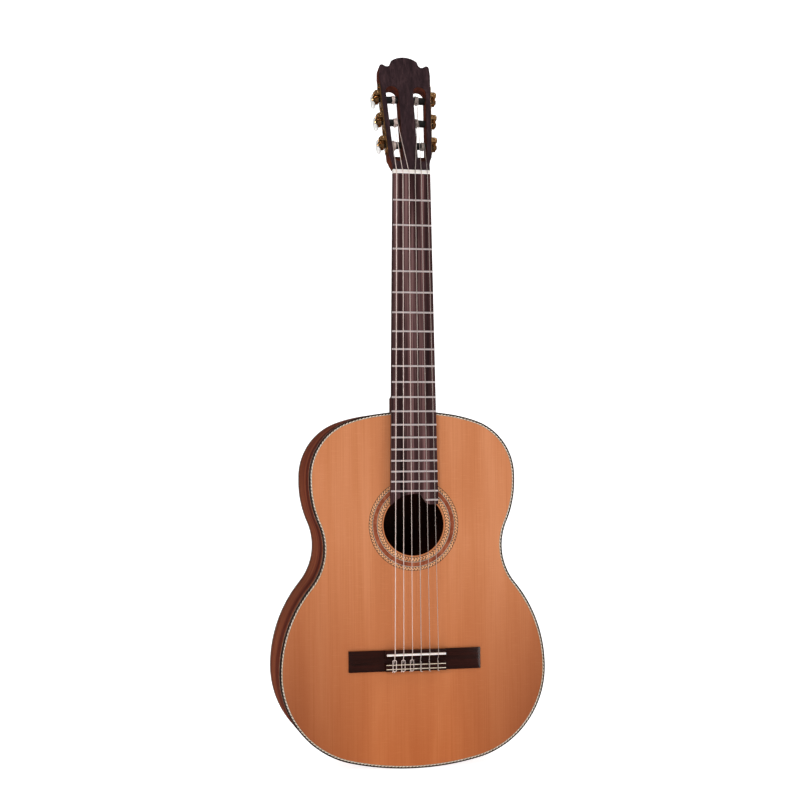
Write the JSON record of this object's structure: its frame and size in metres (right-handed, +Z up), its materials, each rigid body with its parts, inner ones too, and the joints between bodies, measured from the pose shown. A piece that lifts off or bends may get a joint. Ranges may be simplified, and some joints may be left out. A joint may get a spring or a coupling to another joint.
{
  "type": "classical guitar",
  "caption": "Classical guitar with a waisted hollow body, round soundhole, fretted neck, tied bridge and a slotted head with geared tuners that wind the strings.",
  "frame": {"origin": "middle of the nut line, on the fingerboard's surface", "axes": "+X to the treble side, +Y to the back of the guitar, +Z up the neck towards the head"},
  "size_m": [0.368, 0.1192, 0.9796],
  "materials": {
    "cedar": "fine-grained cedar under clear gloss lacquer",
    "mahogany": "red-brown mahogany under clear gloss lacquer",
    "rosewood": "dark rosewood, oiled on the fingerboard and polished elsewhere",
    "inner_wood": "bare spruce and cedar inside the body",
    "light_trim": "maple strips under lacquer",
    "mosaic": "inlaid rings of light and dark wood under lacquer",
    "bone": "polished bone white",
    "fret_metal": "polished nickel silver",
    "gilt": "gilt brass, plates lightly engraved",
    "black_nylon": "black nylon",
    "pearloid": "white pearloid",
    "clear_nylon": "clear nylon",
    "wound_string": "silvered wire wound on nylon"
  },
  "bodies": {
    "guitar": {"soundboard": "cedar", "back_plate": "mahogany", "side_bass": "mahogany", "side_treble": "mahogany", "neck": "mahogany", "headstock": "mahogany", "head_veneer": "rosewood", "heel_cap": "rosewood", "fingerboard": "rosewood", "frets": "fret_metal", "nut": "bone", "bridge": "rosewood", "saddle": "bone", "tie_block_trim": "light_trim", "rosette": "mosaic", "binding_top": "rosewood", "purfling_top": "light_trim", "binding_back": "rosewood", "linings": "inner_wood", "soundboard_braces": "inner_wood", "back_braces": "inner_wood", "tail_block": "inner_wood", "tuner_plates": "gilt", "plate_screws": "gilt", "string_1": "clear_nylon", "string_2": "clear_nylon", "string_3": "clear_nylon", "string_4": "wound_string", "string_5": "wound_string", "string_6": "wound_string"},
    "knob_1": {"tuner_worm_1": "gilt", "tuner_button_1": "pearloid"},
    "roller_1": {"string_roller_1": "black_nylon", "tuner_gear_1": "gilt", "string_winding_1": "clear_nylon"},
    "knob_2": {"tuner_worm_2": "gilt", "tuner_button_2": "pearloid"},
    "roller_2": {"string_roller_2": "black_nylon", "tuner_gear_2": "gilt", "string_winding_2": "clear_nylon"},
    "knob_3": {"tuner_worm_3": "gilt", "tuner_button_3": "pearloid"},
    "roller_3": {"string_roller_3": "black_nylon", "tuner_gear_3": "gilt", "string_winding_3": "clear_nylon"},
    "knob_4": {"tuner_worm_4": "gilt", "tuner_button_4": "pearloid"},
    "roller_4": {"string_roller_4": "black_nylon", "tuner_gear_4": "gilt", "string_winding_4": "wound_string"},
    "knob_5": {"tuner_worm_5": "gilt", "tuner_button_5": "pearloid"},
    "roller_5": {"string_roller_5": "black_nylon", "tuner_gear_5": "gilt", "string_winding_5": "wound_string"},
    "knob_6": {"tuner_worm_6": "gilt", "tuner_button_6": "pearloid"},
    "roller_6": {"string_roller_6": "black_nylon", "tuner_gear_6": "gilt", "string_winding_6": "wound_string"}
  },
  "joints": [
    {"name": "knob_1_turn", "type": "hinge", "parent": "guitar", "child": "knob_1", "pos_m": [0.03719, 0.02381, 0.05014], "axis": [0, 0.9659, -0.2588], "continuous": true},
    {"name": "roller_1_turn", "type": "hinge", "parent": "guitar", "child": "roller_1", "pos_m": [0.03092, 0.02151, 0.04155], "axis": [0.9987, -0.0132, -0.0494], "continuous": true},
    {"name": "knob_2_turn", "type": "hinge", "parent": "guitar", "child": "knob_2", "pos_m": [0.03898, 0.03287, 0.08395], "axis": [0, 0.9659, -0.2588], "continuous": true},
    {"name": "roller_2_turn", "type": "hinge", "parent": "guitar", "child": "roller_2", "pos_m": [0.03272, 0.03057, 0.07536], "axis": [0.9987, -0.0132, -0.0494], "continuous": true},
    {"name": "knob_3_turn", "type": "hinge", "parent": "guitar", "child": "knob_3", "pos_m": [0.04077, 0.04193, 0.11775], "axis": [0, 0.9659, -0.2588], "continuous": true},
    {"name": "roller_3_turn", "type": "hinge", "parent": "guitar", "child": "roller_3", "pos_m": [0.03451, 0.03963, 0.10916], "axis": [0.9987, -0.0132, -0.0494], "continuous": true},
    {"name": "knob_4_turn", "type": "hinge", "parent": "guitar", "child": "knob_4", "pos_m": [-0.04077, 0.04193, 0.11775], "axis": [0, 0.9659, -0.2588], "continuous": true},
    {"name": "roller_4_turn", "type": "hinge", "parent": "guitar", "child": "roller_4", "pos_m": [-0.03451, 0.03963, 0.10916], "axis": [-0.9987, -0.0132, -0.0494], "continuous": true},
    {"name": "knob_5_turn", "type": "hinge", "parent": "guitar", "child": "knob_5", "pos_m": [-0.03898, 0.03287, 0.08395], "axis": [0, 0.9659, -0.2588], "continuous": true},
    {"name": "roller_5_turn", "type": "hinge", "parent": "guitar", "child": "roller_5", "pos_m": [-0.03272, 0.03057, 0.07536], "axis": [-0.9987, -0.0132, -0.0494], "continuous": true},
    {"name": "knob_6_turn", "type": "hinge", "parent": "guitar", "child": "knob_6", "pos_m": [-0.03719, 0.02381, 0.05014], "axis": [0, 0.9659, -0.2588], "continuous": true},
    {"name": "roller_6_turn", "type": "hinge", "parent": "guitar", "child": "roller_6", "pos_m": [-0.03092, 0.02151, 0.04155], "axis": [-0.9987, -0.0132, -0.0494], "continuous": true}
  ],
  "couplings": [
    {"joint": "roller_1_turn", "follows": "knob_1_turn", "ratio": 0.071429},
    {"joint": "roller_2_turn", "follows": "knob_2_turn", "ratio": 0.071429},
    {"joint": "roller_3_turn", "follows": "knob_3_turn", "ratio": 0.071429},
    {"joint": "roller_4_turn", "follows": "knob_4_turn", "ratio": 0.071429},
    {"joint": "roller_5_turn", "follows": "knob_5_turn", "ratio": 0.071429},
    {"joint": "roller_6_turn", "follows": "knob_6_turn", "ratio": 0.071429}
  ]
}
